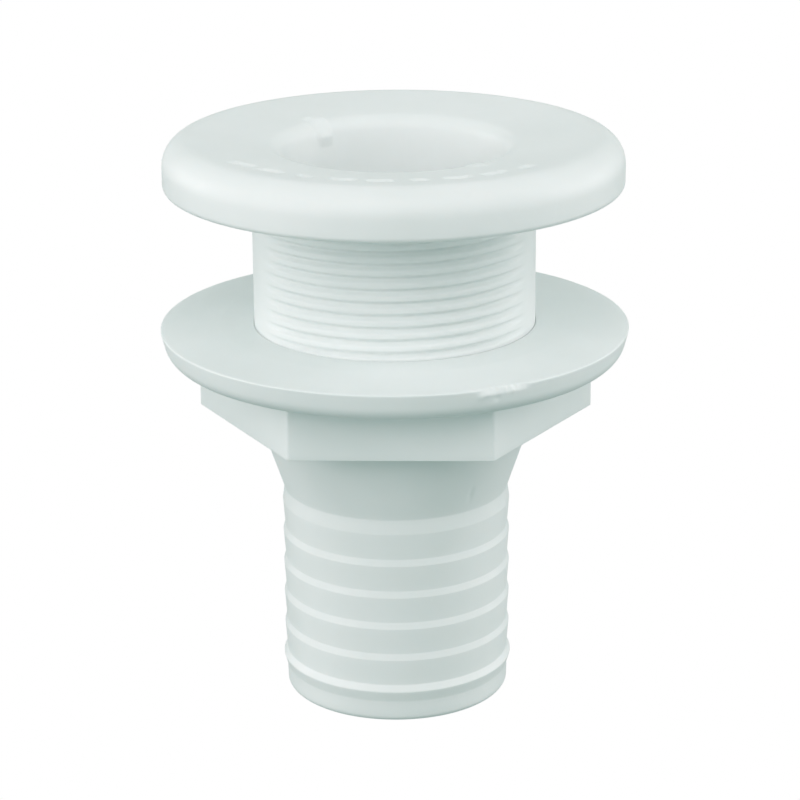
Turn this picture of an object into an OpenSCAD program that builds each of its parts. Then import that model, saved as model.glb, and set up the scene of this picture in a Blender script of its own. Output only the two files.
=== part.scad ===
// Plastic thru-hull fitting for a boat: a mushroom head, a threaded barrel and a barbed
// hose tail moulded in one, with a flanged hex nut that clamps the hull against the head.
// Millimetres. The origin is the centre of the tail's end, and +Z runs up to the head.

/* [Hose tail] */
// Diameter of the water passage
bore_d = 32; // [30:0.5:33]
// Diameter of the tail between its barbs
tail_d = 38.4; // [37.6:0.1:38.8]
// Diameter over the barbs
barb_d = 39.2; // [39:0.1:40]
// Diameter over the lowest barb, the fullest one
end_barb_d = 39.7; // [39.4:0.1:40.6]
// Number of barbs
barb_count = 6; // [3:1:6]
// Distance from one barb to the next
barb_pitch = 5.7; // [5.2:0.1:5.8]
// Height of a barb's holding shoulder
barb_shoulder_h = 1.2; // [1:0.1:2.2]
// Width of the narrow land on top of a barb
barb_land_h = 0.4; // [0.2:0.1:0.6]
// Height of the tail, up to the foot of its cone
tail_h = 37.1; // [37:0.1:38]
// Radius on the outer edge of the tail's end
tail_edge_r = 1.1; // [0.8:0.1:1.5]

/* [Threaded barrel] */
// Diameter over the thread
thread_d = 47.6; // [47:0.1:48.4]
// Distance from one turn of the thread to the next
thread_pitch = 2.117; // [2:0.001:2.3]
// Depth of the thread's grooves
thread_depth = 0.6; // [0.4:0.1:0.8]
// Width of a groove at the thread's crest
groove_w = 1; // [0.8:0.1:1.2]
// Width of a groove at its root
groove_root_w = 0.3; // [0.2:0.1:0.4]
// Arc that the thread spans on the front and again on the back, between its smooth sides
thread_arc = 120; // [100:5:150]
// Height of the barrel's foot, where the cone meets it
barrel_foot_z = 50.2; // [48:0.1:50.6]
// Plain stretch of the barrel under the head
thread_relief_h = 1; // [0.8:0.1:2]

/* [Head] */
// Diameter of the mushroom head
head_d = 77.2; // [74:0.2:80]
// Height of the head's underside, which bears on the hull
head_base_z = 89.7; // [86:0.1:92]
// Thickness of the head at its crown
head_h = 8.2; // [7.4:0.1:9]
// Radius on the head's top edge
head_top_r = 4.4; // [3.5:0.1:5.5]
// Radius on the head's bottom edge
head_bottom_r = 0.9; // [0.6:0.1:1.4]
// Depth of the shallow dish in the head's top
dish_depth = 1.1; // [0.8:0.1:1.6]
// Diameter at the foot of the dish's slope
dish_floor_d = 44.4; // [44.2:0.2:56]
// Diameter of the bore's throat, just below its lip
throat_d = 38.4; // [34:0.1:38.6]
// Height where the throat has narrowed to the water passage
throat_z = 82; // [78:0.5:84]
// Radius on the lip of the bore
lip_r = 2.8; // [2:0.1:2.8]

/* [Wrench lugs] */
// Number of holding lugs inside the head's bore
lug_count = 2; // [2:1:4]
// Width of a lug
lug_w = 2.2; // [2:0.2:4]
// How far a lug stands in from the throat
lug_depth = 1.1; // [0.6:0.1:2]
// Height of a lug
lug_h = 4; // [3:0.5:8]
// Drop from the dish's floor to the top of a lug
lug_drop = 0.4; // [0.3:0.1:2]
// Direction of the first lug, anticlockwise from +X
lug_angle = 129; // [0:1:180]

/* [Flange nut] */
// Diameter of the nut's flange
nut_flange_d = 79.4; // [76:0.2:82]
// Thickness of the flange at its rim
nut_flange_h = 5.6; // [4.8:0.1:6]
// Radius on the rim's top edge
nut_rim_top_r = 0.6; // [0.4:0.1:1]
// Radius on the rim's bottom edge
nut_rim_bottom_r = 3.4; // [1.6:0.1:3.6]
// Diameter of the nut's flat bearing face, inside its sloping rim
nut_face_d = 59; // [56:0.5:70]
// How far the rim lies below the bearing face
nut_rim_drop = 0.6; // [0.2:0.1:0.8]
// Width across the flats of the hex
nut_hex_af = 58; // [55:0.2:59]
// Height of the whole nut
nut_h = 15.3; // [13:0.1:17]
// Height of the nut's bottom face above the tail's end
nut_z = 50.7; // [50.2:0.1:72]
// Turn of the hex about the barrel, anticlockwise
nut_turn = -1.6; // [-30:0.1:30]
// Gap between the thread and the nut's bore, on each side
nut_clearance = 0.1; // [0.05:0.01:0.2]
// Depth of the lead-in at each end of the nut's bore
nut_lead_in = 0.2; // [0.2:0.1:1]

/* [Hidden] */

$fn = 96;
arc_steps = 8;
cut_margin = 1;
lug_embed = 3;

bore_r = bore_d / 2;
tail_r = tail_d / 2;
throat_r = throat_d / 2;
thread_r = thread_d / 2;
head_r = head_d / 2;
head_top_z = head_base_z + head_h;
dish_z = head_top_z - dish_depth;
nut_flange_r = nut_flange_d / 2;
nut_bore_r = thread_r + nut_clearance;
nut_hex_r = nut_hex_af / 2 / cos(30);
thread_start_z = barrel_foot_z + thread_pitch / 2;
thread_end_z = head_base_z - thread_relief_h;
groove_count = floor((thread_end_z - thread_start_z) / thread_pitch);

// Points on an arc in the profile plane, from angle a0 to a1, both in degrees.
function arc(r, z, radius, a0, a1) = [
    for (i = [0 : arc_steps])
        let (a = a0 + (a1 - a0) * i / arc_steps)
            [r + radius * cos(a), z + radius * sin(a)]
];

// Height of a barb's crest; barb 0 is the lowest.
function barb_z(i) = barb_pitch * (i + 1);

// One barb: a long ramp up to a narrow land, then a shoulder that grips the hose.
function barb_points(i) =
    let (crest_r = (i == 0 ? end_barb_d : barb_d) / 2, z = barb_z(i)) [
        [tail_r, z + barb_shoulder_h - barb_pitch + barb_land_h],
        [crest_r, z - barb_land_h / 2],
        [crest_r, z + barb_land_h / 2],
        [tail_r, z + barb_shoulder_h]
    ];

module body_profile() {
    dish_floor_r = dish_floor_d / 2;
    tail_end = arc(tail_r - tail_edge_r, tail_edge_r, tail_edge_r, -90, 0);
    barbs = [for (i = [0 : barb_count - 1]) each barb_points(i)];
    barrel = [[tail_r, tail_h], [thread_r, barrel_foot_z], [thread_r, head_base_z]];
    head_bottom = arc(head_r - head_bottom_r, head_base_z + head_bottom_r, head_bottom_r, -90, 0);
    head_top = arc(head_r - head_top_r, head_top_z - head_top_r, head_top_r, 0, 90);
    dish = [[dish_floor_r, dish_z]];
    lip = arc(throat_r + lip_r, dish_z - lip_r, lip_r, 90, 180);
    passage = [[bore_r, throat_z], [bore_r, 0]];
    polygon(concat(tail_end, barbs, barrel, head_bottom, head_top, dish, lip, passage));
}

// Sections of the thread's grooves, from their roots out to just past the barrel.
module groove_profile() {
    flare = (groove_w - groove_root_w) / thread_depth;
    mouth_w = groove_w + flare * cut_margin;
    for (i = [0 : groove_count - 1])
        translate([thread_r, thread_start_z + i * thread_pitch])
            polygon([
                [-thread_depth, -groove_root_w / 2],
                [cut_margin, -mouth_w / 2],
                [cut_margin, mouth_w / 2],
                [-thread_depth, groove_root_w / 2]
            ]);
}

module thread_grooves() {
    for (side = [-90, 90])
        rotate([0, 0, side - thread_arc / 2])
            rotate_extrude(angle = thread_arc)
                groove_profile();
}

module wrench_lugs() {
    for (i = [0 : lug_count - 1])
        rotate([0, 0, lug_angle + i * 360 / lug_count])
            translate([throat_r - lug_depth, -lug_w / 2, dish_z - lug_drop - lug_h])
                cube([lug_depth + lug_embed, lug_w, lug_h]);
}

module hull_fitting_body() {
    color("whitesmoke") {
        difference() {
            rotate_extrude()
                body_profile();
            thread_grooves();
        }
        wrench_lugs();
    }
}

module nut_flange_profile() {
    rim_z = nut_h - nut_flange_h;
    rim_top_z = nut_h - nut_rim_drop;
    rim_top = arc(nut_flange_r - nut_rim_top_r, rim_top_z - nut_rim_top_r, nut_rim_top_r, 0, 90);
    rim_bottom = arc(nut_flange_r - nut_rim_bottom_r, rim_z + nut_rim_bottom_r,
                     nut_rim_bottom_r, -90, 0);
    face = [[nut_face_d / 2, nut_h], [0, nut_h]];
    polygon(concat([[0, rim_z]], rim_bottom, rim_top, face));
}

// The nut's bore, opening out in a lead-in at both ends.
module nut_bore_profile() {
    lead_r = nut_bore_r + nut_lead_in;
    polygon([
        [0, -cut_margin],
        [lead_r + cut_margin, -cut_margin],
        [nut_bore_r, nut_lead_in],
        [nut_bore_r, nut_h - nut_lead_in],
        [lead_r + cut_margin, nut_h + cut_margin],
        [0, nut_h + cut_margin]
    ]);
}

module flange_nut() {
    color("white")
        translate([0, 0, nut_z])
            difference() {
                union() {
                    rotate_extrude()
                        nut_flange_profile();
                    rotate([0, 0, nut_turn])
                        cylinder(h = nut_h - nut_flange_h / 2, r = nut_hex_r, $fn = 6);
                }
                rotate_extrude()
                    nut_bore_profile();
            }
}

hull_fitting_body();
flange_nut();
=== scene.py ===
"""Plastic thru-hull fitting: the finished looks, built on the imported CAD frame.

Lengths in the shape code are millimetres and become metres where a mesh is made. Angles are in radians.
The front of the fitting faces -Y, and a bearing is measured from the front, anticlockwise seen from above.
"""
import math

import bmesh
import bpy
import numpy as np
from mathutils import Euler, Matrix, Vector


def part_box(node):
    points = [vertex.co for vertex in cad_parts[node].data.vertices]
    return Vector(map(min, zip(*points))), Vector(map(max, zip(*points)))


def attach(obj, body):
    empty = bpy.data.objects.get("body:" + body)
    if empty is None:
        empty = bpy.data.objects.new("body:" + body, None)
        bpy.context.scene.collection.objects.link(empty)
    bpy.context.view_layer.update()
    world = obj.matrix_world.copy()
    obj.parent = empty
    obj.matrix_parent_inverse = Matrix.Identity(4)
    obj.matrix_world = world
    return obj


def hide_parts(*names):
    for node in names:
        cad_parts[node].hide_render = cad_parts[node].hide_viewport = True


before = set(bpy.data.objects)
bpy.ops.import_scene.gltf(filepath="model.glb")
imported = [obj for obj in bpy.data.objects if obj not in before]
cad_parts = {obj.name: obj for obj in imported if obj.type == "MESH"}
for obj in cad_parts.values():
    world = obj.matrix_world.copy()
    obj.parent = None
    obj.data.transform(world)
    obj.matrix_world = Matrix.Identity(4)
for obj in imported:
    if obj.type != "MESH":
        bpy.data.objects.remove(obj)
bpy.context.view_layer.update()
_, body_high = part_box("hull_fitting_body")
nut_low, nut_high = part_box("flange_nut")

METRES = 0.001
MM = 1 / METRES
WELD_DISTANCE = 1e-7
FULL_TURN = 2 * math.pi

# ---------------------------------------------------------------- driving dimensions, in millimetres

# The head, its dish, and the bore from its lip down through the conical throat.
HEAD_R = body_high.x * MM
HEAD_TOP_Z = body_high.z * MM
HEAD_H = 8.2
HEAD_BASE_Z = HEAD_TOP_Z - HEAD_H
HEAD_TOP_ROUND = 4.4
HEAD_BOTTOM_ROUND = 0.9
HEAD_ROOT_ROUND = 0.08
CROWN_R = HEAD_R - 4.9
CROWN_ROUND = 1.5
DISH_Z = HEAD_TOP_Z - 1.1
DISH_FOOT_Z = DISH_Z - 0.2
THROAT_R = 19.2
THROAT_Z = 82.0
THROAT_ROUND = 3
BORE_R = 16.0
BORE_END_ROUND = 0.5
LIP_R = 2.8

# The row of plain raised bars round the front of the dish. The row drifts outward away from the front.
MARK_R = 29.1
MARK_FLARE = 1.5
MARK_WANDER = 0.3
MARK_WANDER_RATE = 37
MARK_H = 0.5
MARK_COUNT = 9
MARK_SPACING = math.radians(12.3)
MARK_MIDDLE = math.radians(-4)
MARK_HALF_LONG = 2.1
MARK_HALF_SHORT = 1.3
MARK_REACH = 1.3
MARK_SOFT = 0.8
MARK_STEP = 0.5
MARK_TAPER = 1.8
MARK_LIMIT_R = HEAD_R - 4

# The ejector pimple on the cone.
PIMPLE_BEARING = math.radians(38)
PIMPLE_R = 20.6
PIMPLE_Z = 40.2
PIMPLE_SIZE = 0.55
PIMPLE_H = 0.35

# The thread. Its grooves are cut into the barrel and into the nut's bore.
THREAD_R = 23.8
THREAD_PITCH = 2.117
THREAD_DEPTH = 1.0
THREAD_PHASE_Z = 0.3
THREAD_LOW_Z = 51.2
THREAD_HIGH_Z = 88.9
THREAD_FADE_Z = 0.45
THREAD_FADE_SOFT = 0.7
THREAD_HALF_ARC = math.radians(52)
THREAD_ARC_SOFT = math.radians(32)
BARREL_FOOT_Z = 50.2
BARREL_FOOT_ROUND = 1.5

# The hose tail. Each barb is a long ramp up to a crest and a short shoulder above it.
TAIL_R = 19.2
TAIL_TOP_Z = 36.7
TAIL_TOP_ROUND = 0.8
TAIL_END_ROUND = 1.1
TAIL_DRAFT = 0.05
BARB_PITCH = 5.7
BARB_COUNT = 6
BARB_R = 19.56
END_BARB_R = 19.84
BARB_SHOULDER_H = 1.15
BARB_CREST_ROUND = 0.4
BARB_ROOT_ROUND = 0.5
END_RAMP_Z = 3.8
END_RAMP_ROUND = 1.5

# The holding lugs in the bore, as (bearing, fullness). At fullness 1 a lug has its whole height and depth.
LUGS = [(math.radians(219), 1.0), (math.radians(39), 0.35)]
LUG_HALF_W = 1.1
LUG_SIDE_SOFT = 0.06
LUG_R = 18.2
LUG_OUTER_R = 23.4
LUG_LOW_Z = 92.4

# The nut: a hex under a flange whose top slopes down from a flat face to the rim.
NUT_LOW_Z = nut_low.z * MM
NUT_TOP_Z = nut_high.z * MM
NUT_R = nut_high.x * MM
NUT_FLANGE_H = 5.6
NUT_RIM_LOW_Z = NUT_TOP_Z - NUT_FLANGE_H
NUT_RIM_FOOT_R = NUT_R - 1.3
NUT_RIM_BOTTOM_ROUND = 3.3
NUT_RIM_TOP_Z = NUT_TOP_Z - 0.6
NUT_RIM_TOP_ROUND = 0.25
NUT_UNDERSIDE_R = NUT_R - 5
NUT_FACE_R = 29.5
NUT_FACE_ROUND = 2
NUT_BORE_R = 23.86
NUT_LEAD_IN = 0.12
NUT_THREAD_DEPTH = 0.55
HEX_FLAT_R = 29.0
HEX_CORNER_R = 0.8
HEX_EDGE_R = 0.12
HEX_NECK_R = 0.5
NUT_TURN = math.radians(-1.6)

# The scuffed stretch of the nut's rim, and the burrs on it, as (bearing in degrees, drop below the rim's top
# edge, size, height). A negative height is a nick.
SCUFF_START = math.radians(20)
SCUFF_END = math.radians(32.5)
SCUFF_SOFT = 0.06
SCUFF_DROP = 1.1
SCUFF_DEPTH = 0.6
SCUFF_RIPPLE = 0.25
SCUFF_RIPPLE_RATES = (140, 83)
SCUFF_REACH_IN = 2.2
SCUFF_REACH_SOFT = 1.5
SCUFF_BURRS = [
    (20.4, 1.3, 0.4, 0.25),
    (21.8, 0.9, 0.35, 0.3),
    (24.4, 1.8, 0.5, -0.2),
    (28.6, 0.8, 0.35, 0.25),
]

# Points in each ring round the axis, and the longest step along a coarse and a fine outline.
COLUMNS = 576
COARSE_STEP = 1.1
FINE_STEP = 0.3

# ---------------------------------------------------------------- stage and camera, in metres

FLOOR_Z = -0.02
FLOOR_RADIUS = 1.5
DOME_RADIUS = 4
WARM_WHITE = (1.0, 0.88, 0.91)
TEAL_FILL = (0.68, 1.0, 0.92, 1)
TEAL_FILL_STRENGTH = 0.31

CAMERA_DISTANCE = 0.5
CAMERA_ELEVATION = math.radians(18.52)
CAMERA_TARGET = Vector((0.00079, 0, 0.05145))
CAMERA_ROLL = 0.007
CAMERA_PIXELS_PER_METRE = 5841
CAMERA_SENSOR_MM = 36
IMAGE_PIXELS = 800

# ---------------------------------------------------------------- outlines


def smooth_step(x):
    """0 below 0, 1 above 1, and an S curve between."""
    t = np.clip(x, 0, 1)
    return t * t * (3 - 2 * t)


def window(x, low, high, soft):
    """1 between low and high, falling to 0 over a width of soft at each end."""
    return smooth_step((x - low) / soft + 0.5) * smooth_step((high - x) / soft + 0.5)


def turn_between(a, b):
    """Signed angle from bearing b to bearing a, from -pi to pi."""
    return (a - b + math.pi) % FULL_TURN - math.pi


def unit(v):
    return v / np.linalg.norm(v)


def fillet(before, corner, after, radius):
    """Points along a fillet of the given radius at a corner, or the corner itself where it has none."""
    arc_step = math.radians(10)
    nearly_straight = math.radians(89.5)
    to_before = unit(before - corner)
    to_after = unit(after - corner)
    half = math.acos(float(np.clip(to_before @ to_after, -1, 1))) / 2
    if radius == 0 or half > nearly_straight:
        return [corner]
    centre = corner + unit(to_before + to_after) * radius / math.sin(half)
    start = corner + to_before * radius / math.tan(half) - centre
    end = corner + to_after * radius / math.tan(half) - centre
    sweep = math.pi - 2 * half
    steps = max(2, math.ceil(sweep / arc_step))
    arc = []
    for i in range(steps + 1):
        share = i / steps
        weight_start = math.sin((1 - share) * sweep) / math.sin(sweep)
        weight_end = math.sin(share * sweep) / math.sin(sweep)
        arc.append(centre + weight_start * start + weight_end * end)
    return arc


def rounded(corners, spacing):
    """Points along an open outline of (r, z, fillet radius) corners, no further apart than spacing."""
    shortest = 1e-6
    flat = [np.array(corner[:2], float) for corner in corners]
    points = [flat[0]]
    for i in range(1, len(corners) - 1):
        points += fillet(flat[i - 1], flat[i], flat[i + 1], corners[i][2])
    points.append(flat[-1])
    out = [points[0]]
    for a, b in zip(points, points[1:]):
        length = np.linalg.norm(b - a)
        if length < shortest:
            continue
        steps = max(1, math.ceil(length / spacing))
        out += [a + (b - a) * i / steps for i in range(1, steps + 1)]
    return np.array(out)


def refined(points, low_r, high_r, low_z, spacing):
    """The same outline with steps of at most spacing where r is from low_r to high_r and z is above low_z."""
    out = [points[0]]
    for a, b in zip(points, points[1:]):
        middle = (a + b) / 2
        wanted = low_r < middle[0] < high_r and middle[1] > low_z
        steps = math.ceil(np.linalg.norm(b - a) / spacing) if wanted else 1
        out += [a + (b - a) * i / steps for i in range(1, steps + 1)]
    return np.array(out)


def lengths_along(points):
    """Length of an outline from its start to each of its points."""
    steps = np.linalg.norm(np.diff(points, axis=0), axis=1)
    return np.concatenate([[0], np.cumsum(steps)])


def resampled(points, shares):
    """Points at the given shares of an outline's length."""
    lengths = lengths_along(points)
    along = shares * lengths[-1]
    return np.stack([np.interp(along, lengths, points[:, i]) for i in range(2)], axis=1)


def outline_normals(points):
    """Unit normals to the right of an outline's direction of travel."""
    tangent = np.gradient(points, axis=0)
    tangent /= np.linalg.norm(tangent, axis=1)[:, None]
    return np.stack([tangent[:, 1], -tangent[:, 0]], axis=1)


# ---------------------------------------------------------------- meshes


def polar_points(radius, z, bearing):
    """Points in metres, from radius, height and bearing."""
    x = radius * np.sin(bearing)
    y = -radius * np.cos(bearing)
    return np.stack([x, y, np.broadcast_to(z, x.shape)], axis=-1) * METRES


def grid_faces(rows, columns, first, wraps):
    """Quads of a grid of points that starts at index first. Its rows are closed rings where it wraps."""
    row = np.arange(rows - 1)[:, None] * columns
    column = np.arange(columns if wraps else columns - 1)[None, :]
    beside = (column + 1) % columns
    corners = [row + column, row + beside, row + columns + beside, row + columns + column]
    return (np.stack(corners, axis=-1) + first).reshape(-1, 4)


def welded_mesh(name, grids):
    """One closed smooth mesh from (points, wraps) grids that meet along their edges."""
    points = np.concatenate([grid.reshape(-1, 3) for grid, _ in grids])
    faces = []
    first = 0
    for grid, wraps in grids:
        rows, columns = grid.shape[:2]
        faces.append(grid_faces(rows, columns, first, wraps))
        first += rows * columns
    mesh = bpy.data.meshes.new(name)
    mesh.from_pydata(points.tolist(), [], np.concatenate(faces).tolist())
    work = bmesh.new()
    work.from_mesh(mesh)
    bmesh.ops.remove_doubles(work, verts=work.verts, dist=WELD_DISTANCE)
    bmesh.ops.recalc_face_normals(work, faces=work.faces)
    work.to_mesh(mesh)
    work.free()
    mesh.shade_smooth()
    return mesh


def add_piece(name, grids, body, node, material):
    """A piece that stands for a CAD node and rides with its body."""
    mesh = welded_mesh(name, grids)
    mesh.materials.append(material)
    piece = bpy.data.objects.new(name, mesh)
    bpy.context.scene.collection.objects.link(piece)
    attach(piece, body)
    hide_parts(node)


# ---------------------------------------------------------------- thread


def groove_shape(phase):
    """Depth of the thread's groove, 0 to 1, at a phase of 0 to 1 along the pitch, deepest at 0.5."""
    root_half = 0.05
    mouth_half = 0.34
    return smooth_step((mouth_half - np.abs(phase - 0.5)) / (mouth_half - root_half))


def thread_band(radius, depth, low_z, high_z, bearings, strength):
    """A wall from low_z to high_z whose rows of points follow a right-hand thread's helix.

    Each turn's last column meets the next turn's first one, so the band welds to itself. Rows that would pass
    an end are held there, and weld to the ring that the next grid starts from. depth is negative for grooves
    cut into a shaft, and strength(bearing) fades the grooves out.
    """
    half_phases = [0.04, 0.1, 0.16, 0.22, 0.29, 0.38]
    phases = sorted([0.5 - half for half in half_phases] + [0.5 + half for half in half_phases])
    first_turn = math.floor(low_z / THREAD_PITCH) - 2
    last_turn = math.ceil(high_z / THREAD_PITCH) + 1
    turns = [turn + phase for turn in range(first_turn, last_turn) for phase in phases]
    turns = np.array(turns)[:, None]
    bearing = np.append(bearings, bearings[0] + FULL_TURN)[None, :]
    free_z = (turns + (bearing - bearings[0]) / FULL_TURN) * THREAD_PITCH + THREAD_PHASE_Z
    z = np.clip(free_z, low_z, high_z)
    margin = THREAD_PITCH / 4
    keep = (free_z.max(axis=1) > low_z - margin) & (free_z.min(axis=1) < high_z + margin)
    phase = np.broadcast_to(turns % 1, z.shape)
    fade = window(z, low_z + THREAD_FADE_Z, high_z - THREAD_FADE_Z, THREAD_FADE_SOFT)
    r = radius + depth * groove_shape(phase) * fade * strength(bearing)
    return polar_points(r[keep], z[keep], bearing)


def moulded_thread_strength(bearing):
    """The thread spans the front and the back, and fades out towards the parting line on each side."""
    from_front = np.abs(turn_between(bearing, 0))
    from_back = math.pi - from_front
    return smooth_step((THREAD_HALF_ARC - np.minimum(from_front, from_back)) / THREAD_ARC_SOFT + 0.5)


def full_strength(bearing):
    """The nut's thread runs all the way round."""
    return 1.0


# ---------------------------------------------------------------- the moulded body


def head_corners():
    """The head, from the top of the thread round its edge to the crown, as (r, z, fillet radius) corners."""
    return [
        (THREAD_R, THREAD_HIGH_Z, 0),
        (THREAD_R, HEAD_BASE_Z, HEAD_ROOT_ROUND),
        (HEAD_R, HEAD_BASE_Z, HEAD_BOTTOM_ROUND),
        (HEAD_R, HEAD_TOP_Z, HEAD_TOP_ROUND),
        (CROWN_R, HEAD_TOP_Z, CROWN_ROUND),
    ]


def passage_corners():
    """The dish's slope into the lip, the conical throat and the bore, down to the tail's end."""
    return [
        (THROAT_R, DISH_FOOT_Z, LIP_R),
        (BORE_R, THROAT_Z, THROAT_ROUND),
        (BORE_R, 0, BORE_END_ROUND),
    ]


def tail_corners():
    """The tail's end, its barbs and the cone, up to the foot of the thread."""
    corners = [
        (TAIL_R - TAIL_DRAFT, 0, TAIL_END_ROUND),
        (TAIL_R + TAIL_DRAFT, END_RAMP_Z, END_RAMP_ROUND),
        (END_BARB_R, BARB_PITCH, BARB_CREST_ROUND),
    ]
    for i in range(1, BARB_COUNT):
        corners.append((TAIL_R, BARB_PITCH * i + BARB_SHOULDER_H, BARB_ROOT_ROUND))
        corners.append((BARB_R, BARB_PITCH * (i + 1), BARB_CREST_ROUND))
    corners.append((TAIL_R, TAIL_TOP_Z, TAIL_TOP_ROUND))
    corners.append((THREAD_R, BARREL_FOOT_Z, BARREL_FOOT_ROUND))
    corners.append((THREAD_R, THREAD_LOW_Z, 0))
    return corners


def body_outline():
    """The body's outline: from the thread's top over the head, down the bore and up the tail to the thread.

    It has fine steps round the lip and the dish, where the lugs and the bars are.
    """
    coarse = rounded(head_corners() + passage_corners() + tail_corners(), COARSE_STEP)
    fine_from_r = THROAT_R - 1.5
    fine_above_z = LUG_LOW_Z - 1
    return refined(coarse, fine_from_r, MARK_LIMIT_R, fine_above_z, FINE_STEP)


def lug_outline(start, end):
    """The outline over a holding lug, between two points of the bore's own outline."""
    top_outer_end = (LUG_OUTER_R - 1.2, DISH_Z + 0.6, 0.6)
    top_inner_end = (LUG_R + 1.8, DISH_Z + 0.4, 0.8)
    nose = (LUG_R, LUG_LOW_Z + 2, 1)
    return rounded([(*start, 0), top_outer_end, top_inner_end, nose, (*end, 0)], FINE_STEP)


def add_lugs(points, radius, z, bearing):
    """Moves the bore's wall in to the lugs' outline over the width of each lug."""
    start = int(np.argmin(np.hypot(points[:, 0] - LUG_OUTER_R, points[:, 1] - DISH_Z)))
    end = int(np.argmin(np.hypot(points[:, 0] - THROAT_R, points[:, 1] - LUG_LOW_Z)))
    stretch = slice(start, end + 1)
    lengths = lengths_along(points[stretch])
    over = resampled(lug_outline(points[start], points[end]), lengths / lengths[-1])
    half_width = LUG_HALF_W / BORE_R
    for lug, fullness in LUGS:
        share = fullness * window(turn_between(bearing, lug), -half_width, half_width, LUG_SIDE_SOFT)
        radius[stretch] += share * (over[:, :1] - radius[stretch])
        z[stretch] += share * (over[:, 1:] - z[stretch])


def mark_relief(r, z, bearing):
    """The row of plain bars on the head. Each is steep on its inner side and slopes down outward."""
    on_top = (z > DISH_Z) & (r > THROAT_R + LIP_R) & (r < MARK_LIMIT_R)
    flare = MARK_FLARE * turn_between(bearing, 0) ** 2
    row_r = MARK_R + flare + MARK_WANDER * np.sin(MARK_WANDER_RATE * bearing)
    bars = 0
    for i in range(MARK_COUNT):
        middle = MARK_MIDDLE + (i - (MARK_COUNT - 1) / 2) * MARK_SPACING
        across = turn_between(bearing, middle) * MARK_R
        half_width = MARK_HALF_SHORT if i % 3 == 2 else MARK_HALF_LONG
        bars = bars + window(across, -half_width, half_width, MARK_SOFT)
    inner_side = smooth_step((r - row_r + MARK_REACH) / MARK_STEP)
    outer_slope = np.clip((row_r + MARK_REACH - r) / MARK_TAPER, 0, 1)
    return MARK_H * bars * inner_side * outer_slope * on_top


def pimple_relief(r, z, bearing):
    """The small ejector pimple on the outside of the cone."""
    across = turn_between(bearing, PIMPLE_BEARING) * PIMPLE_R
    reach = np.hypot(across, z - PIMPLE_Z)
    return PIMPLE_H * np.exp(-(reach / PIMPLE_SIZE) ** 2) * (r > TAIL_R)


def body_grids():
    """The body's shell, from the head's underside round to the barrel's foot, and the threaded barrel."""
    points = body_outline()
    normals = outline_normals(points)
    bearing = np.arange(COLUMNS)[None, :] * FULL_TURN / COLUMNS
    radius = points[:, :1]
    z = points[:, 1:]
    relief = mark_relief(radius, z, bearing) + pimple_relief(radius, z, bearing)
    radius = radius - normals[:, :1] * relief
    z = z - normals[:, 1:] * relief
    add_lugs(points, radius, z, bearing)
    shell = polar_points(radius, z, bearing)
    band = thread_band(
        THREAD_R, -THREAD_DEPTH, THREAD_LOW_Z, THREAD_HIGH_Z, bearing[0], moulded_thread_strength)
    return [(shell, True), (band, False)]


# ---------------------------------------------------------------- the nut


def hex_radius(bearing, inset):
    """Distance from the axis to the hex's side, with rounded corners, moved in by inset."""
    sector = math.radians(60)
    from_flat = np.abs((bearing + sector / 2) % sector - sector / 2)
    flat = HEX_FLAT_R - inset
    corner_r = max(HEX_CORNER_R - inset * 0.5, 0.2)
    centre_r = (flat - corner_r) / math.cos(sector / 2)
    from_corner = sector / 2 - from_flat
    on_corner = centre_r * np.cos(from_corner) + np.sqrt(
        np.maximum(corner_r ** 2 - (centre_r * np.sin(from_corner)) ** 2, 0))
    on_flat = flat / np.cos(from_flat)
    turning = from_flat > math.atan((flat - corner_r) * math.tan(sector / 2) / flat)
    return np.where(turning, on_corner, on_flat)


def nut_bearings():
    """Bearings that crowd together at the hex's corners, where the surface turns fastest."""
    even = np.arange(COLUMNS) * FULL_TURN / COLUMNS
    crowding = 0.8
    return even + crowding * np.sin(6 * even) / 6


def rim_scuff(bearing, r, z):
    """How far the scuffed stretch of the rim's top edge stands out or in, in millimetres."""
    below_top = NUT_RIM_TOP_Z - z
    worn = window(bearing, SCUFF_START, SCUFF_END, SCUFF_SOFT) * smooth_step(1 - below_top / SCUFF_DROP)
    fast, slow = SCUFF_RIPPLE_RATES
    ripple = np.sin(bearing * fast) * np.sin(bearing * slow + 1)
    relief = worn * (SCUFF_RIPPLE * ripple - SCUFF_DEPTH)
    for degrees, drop, size, height in SCUFF_BURRS:
        across = turn_between(bearing, math.radians(degrees)) * NUT_R
        relief = relief + height * np.exp(-(across ** 2 + (below_top - drop) ** 2) / size ** 2)
    return relief * smooth_step((r - NUT_R + SCUFF_REACH_IN) / SCUFF_REACH_SOFT)


def rows_between(low, high, steps):
    """(radius, z) rows from just after low to just before high, which are (radius, z) too."""
    rows = []
    for i in range(1, steps):
        share = i / steps
        rows.append((low[0] + (high[0] - low[0]) * share, low[1] + (high[1] - low[1]) * share))
    return rows


def hex_rows(bearing):
    """The hex, from its rounded bottom edge up its sides to the hollow where it meets the flange."""
    arc = [math.radians(15 * i) for i in range(7)]
    side = hex_radius(bearing, 0)
    side_low = NUT_LOW_Z + HEX_EDGE_R
    side_high = NUT_RIM_LOW_Z - HEX_NECK_R
    rows = []
    for angle in arc:
        inset = HEX_EDGE_R * (1 - math.sin(angle))
        rows.append((hex_radius(bearing, inset), NUT_LOW_Z + HEX_EDGE_R * (1 - math.cos(angle))))
    rows += rows_between((side, side_low), (side, side_high), 10)
    for angle in arc:
        flare = HEX_NECK_R * (1 - math.cos(angle))
        rows.append((side + flare, side_high + HEX_NECK_R * math.sin(angle)))
    return rows


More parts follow.
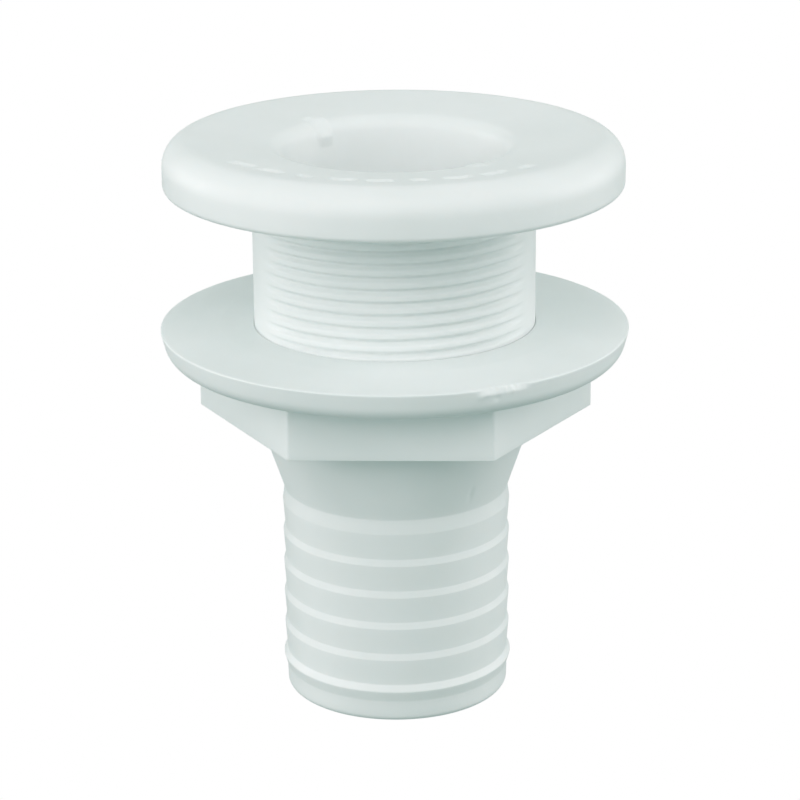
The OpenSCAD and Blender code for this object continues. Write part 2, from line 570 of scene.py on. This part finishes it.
def flange_rows(bearing, lead_r):
    """The flange, from its underside round the scuffed rim and over the top to the bore's lead-in."""
    corners = [
        (NUT_UNDERSIDE_R, NUT_RIM_LOW_Z, 0),
        (NUT_RIM_FOOT_R, NUT_RIM_LOW_Z, NUT_RIM_BOTTOM_ROUND),
        (NUT_R, NUT_RIM_TOP_Z, NUT_RIM_TOP_ROUND),
        (NUT_FACE_R, NUT_TOP_Z, NUT_FACE_ROUND),
        (lead_r, NUT_TOP_Z, 0),
    ]
    outline = rounded(corners, FINE_STEP)
    return [(r + rim_scuff(bearing + NUT_TURN, r, z), z) for r, z in outline]


def nut_grids():
    """The nut's shell, from the bore's foot over the hex and flange to the bore's mouth, and its thread."""
    bearing = nut_bearings()
    lead_r = NUT_BORE_R + NUT_LEAD_IN
    bore_foot = (NUT_BORE_R, NUT_LOW_Z + NUT_LEAD_IN)
    bore_mouth = (NUT_BORE_R, NUT_TOP_Z - NUT_LEAD_IN)
    lead_foot = (lead_r, NUT_LOW_Z)
    hexagon = hex_rows(bearing)
    flange = flange_rows(bearing, lead_r)
    rows = [bore_foot] + rows_between(bore_foot, lead_foot, 3) + [lead_foot]
    rows += rows_between(lead_foot, hexagon[0], 5) + hexagon
    rows += rows_between(hexagon[-1], flange[0], 5) + flange
    rows += rows_between(flange[-1], bore_mouth, 3) + [bore_mouth]
    radius = np.stack([np.broadcast_to(r, bearing.shape) for r, _ in rows])
    z = np.array([z for _, z in rows])[:, None]
    shell = polar_points(radius, z, bearing + NUT_TURN)
    band = thread_band(
        NUT_BORE_R, NUT_THREAD_DEPTH, bore_foot[1], bore_mouth[1], bearing + NUT_TURN, full_strength)
    return [(shell, True), (band, False)]


# ---------------------------------------------------------------- materials


def new_node(tree, kind, **settings):
    """A node with the given inputs set. An underscore in a setting stands for a space in the input's name."""
    node = tree.nodes.new(kind)
    for setting, value in settings.items():
        node.inputs[setting.replace("_", " ")].default_value = value
    return node


def empty_material(name):
    """A material with only an output, as (material, tree, the output's surface)."""
    material = bpy.data.materials.new(name)
    material.use_nodes = True
    tree = material.node_tree
    tree.nodes.clear()
    output = tree.nodes.new("ShaderNodeOutputMaterial")
    return material, tree, output.inputs["Surface"]


def noise(tree, place, scale, detail, offset):
    """Noise fixed to the object. Two offsets give two different patterns."""
    mapping = new_node(tree, "ShaderNodeMapping", Location=(offset, offset * 0.7, offset * 1.3))
    texture = new_node(tree, "ShaderNodeTexNoise", Scale=scale, Detail=detail)
    tree.links.new(place, mapping.inputs["Vector"])
    tree.links.new(mapping.outputs["Vector"], texture.inputs["Vector"])
    return texture.outputs["Fac"]


def remap(tree, value, low, high):
    """The usual span of a noise, 0.3 to 0.7, stretched to run from low to high."""
    span = new_node(tree, "ShaderNodeMapRange", From_Min=0.3, From_Max=0.7, To_Min=low, To_Max=high)
    tree.links.new(value, span.inputs["Value"])
    return span.outputs["Result"]


def moulded_plastic(name, colour, roughness, seed):
    """White moulded plastic with a fine skin, faint flow marks, and slightly uneven colour and gloss."""
    material, tree, surface = empty_material(name)
    shader = new_node(
        tree, "ShaderNodeBsdfPrincipled", IOR=1.49, Subsurface_Weight=0.25,
        Subsurface_Radius=(1.0, 0.9, 0.85), Subsurface_Scale=0.002)
    tree.links.new(shader.outputs[0], surface)
    place = tree.nodes.new("ShaderNodeTexCoord").outputs["Object"]

    tint = tree.nodes.new("ShaderNodeMix")
    tint.data_type = "RGBA"
    tint.inputs["A"].default_value = (*[channel * 0.975 for channel in colour], 1)
    tint.inputs["B"].default_value = (*[min(1, channel * 1.02) for channel in colour], 1)
    blotches = noise(tree, place, scale=45, detail=4, offset=seed)
    tree.links.new(remap(tree, blotches, 0, 1), tint.inputs["Factor"])
    tree.links.new(tint.outputs["Result"], shader.inputs["Base Color"])

    gloss = noise(tree, place, scale=220, detail=3, offset=seed + 3)
    tree.links.new(remap(tree, gloss, roughness - 0.05, roughness + 0.06), shader.inputs["Roughness"])

    skin = new_node(tree, "ShaderNodeBump", Strength=0.12, Distance=0.00006)
    flow = new_node(tree, "ShaderNodeBump", Strength=0.25, Distance=0.0003)
    tree.links.new(noise(tree, place, scale=1800, detail=3, offset=seed + 5), skin.inputs["Height"])
    tree.links.new(noise(tree, place, scale=120, detail=2, offset=seed + 7), flow.inputs["Height"])
    tree.links.new(skin.outputs["Normal"], flow.inputs["Normal"])
    tree.links.new(flow.outputs["Normal"], shader.inputs["Normal"])
    return material


# ---------------------------------------------------------------- stage


def studio_white(name):
    """An even white on a surface's front, and nothing on its back."""
    material, tree, surface = empty_material(name)
    glow = new_node(tree, "ShaderNodeEmission", Color=(1, 1, 1, 1), Strength=1.0)
    clear = tree.nodes.new("ShaderNodeBsdfTransparent")
    side = tree.nodes.new("ShaderNodeNewGeometry")
    choice = tree.nodes.new("ShaderNodeMixShader")
    tree.links.new(side.outputs["Backfacing"], choice.inputs["Fac"])
    tree.links.new(glow.outputs[0], choice.inputs[1])
    tree.links.new(clear.outputs[0], choice.inputs[2])
    tree.links.new(choice.outputs[0], surface)
    return material


def add_stage_piece(name, work, material):
    """A part of the stage. It shows behind the object, and neither lights it nor shades it."""
    mesh = bpy.data.meshes.new(name)
    work.to_mesh(mesh)
    work.free()
    mesh.materials.append(material)
    piece = bpy.data.objects.new(name, mesh)
    piece.visible_diffuse = False
    piece.visible_glossy = False
    piece.visible_transmission = False
    piece.visible_shadow = False
    bpy.context.scene.collection.objects.link(piece)


def add_stage():
    """A plain white floor, low enough for the nut to come off the tail above it, inside a white dome."""
    white = studio_white("studio_white")
    floor = bmesh.new()
    level = Matrix.Translation((0, 0, FLOOR_Z))
    bmesh.ops.create_circle(floor, cap_ends=True, segments=96, radius=FLOOR_RADIUS, matrix=level)
    add_stage_piece("studio_floor", floor, white)
    dome = bmesh.new()
    bmesh.ops.create_uvsphere(dome, u_segments=48, v_segments=24, radius=DOME_RADIUS)
    bmesh.ops.reverse_faces(dome, faces=dome.faces)
    add_stage_piece("studio_dome", dome, white)


def add_soft_light(name, azimuth, elevation, size, power):
    """A round soft light a metre from the object, placed by angles in degrees; azimuth 0 is the front."""
    turn = math.radians(azimuth)
    rise = math.radians(elevation)
    middle = Vector((0, 0, 0.05))
    out = Vector((math.sin(turn) * math.cos(rise), -math.cos(turn) * math.cos(rise), math.sin(rise)))
    data = bpy.data.lights.new(name, "AREA")
    data.shape = "DISK"
    data.size = size
    data.energy = power
    data.color = WARM_WHITE
    light = bpy.data.objects.new(name, data)
    light.location = middle + out
    light.rotation_euler = (-out).to_track_quat("-Z", "Y").to_euler()
    bpy.context.scene.collection.objects.link(light)


def add_lights():
    """Soft light all round with a weaker teal fill, so shadows turn teal and lit sides stay neutral."""
    world = bpy.data.worlds.new("studio_world")
    bpy.context.scene.world = world
    world.use_nodes = True
    background = world.node_tree.nodes["Background"]
    background.inputs["Color"].default_value = TEAL_FILL
    background.inputs["Strength"].default_value = TEAL_FILL_STRENGTH
    add_soft_light("front_key", -5, 45, 0.9, 4.7)
    add_soft_light("left_front", -55, 12, 0.6, 2.9)
    add_soft_light("right_front", 55, 12, 0.6, 1.1)
    add_soft_light("left_side", -110, 12, 0.6, 2.7)
    add_soft_light("right_side", 105, 12, 0.6, 3.5)
    add_soft_light("right_high", 90, 45, 0.6, 0.8)
    add_soft_light("back_high", 180, 45, 0.9, 1.6)
    add_soft_light("left_low", -90, -25, 0.8, 0.7)
    add_soft_light("right_low", 90, -25, 0.8, 0.9)


def add_camera():
    """Looks along +Y from above the front, with the object a little left of the middle."""
    data = bpy.data.cameras.new("camera")
    data.sensor_width = CAMERA_SENSOR_MM
    data.lens = data.sensor_width * CAMERA_PIXELS_PER_METRE * CAMERA_DISTANCE / IMAGE_PIXELS
    data.clip_start = 0.01
    data.clip_end = 50
    camera = bpy.data.objects.new("camera", data)
    back = Vector((0, -math.cos(CAMERA_ELEVATION), math.sin(CAMERA_ELEVATION)))
    camera.location = CAMERA_TARGET + back * CAMERA_DISTANCE
    level = Euler((math.pi / 2 - CAMERA_ELEVATION, 0, 0)).to_quaternion()
    roll = Euler((0, 0, -CAMERA_ROLL)).to_quaternion()
    camera.rotation_mode = "QUATERNION"
    camera.rotation_quaternion = level @ roll
    bpy.context.scene.collection.objects.link(camera)
    bpy.context.scene.camera = camera


# ---------------------------------------------------------------- the scene

bpy.context.scene.view_settings.view_transform = "Standard"
body_plastic = moulded_plastic("body_plastic", (0.88, 0.925, 0.915), 0.5, 1.0)
nut_plastic = moulded_plastic("nut_plastic", (0.875, 0.925, 0.915), 0.52, 4.0)
add_piece("thru_hull_moulding", body_grids(), "fitting", "hull_fitting_body", body_plastic)
add_piece("flanged_hex_nut", nut_grids(), "nut", "flange_nut", nut_plastic)
add_stage()
add_lights()
add_camera()
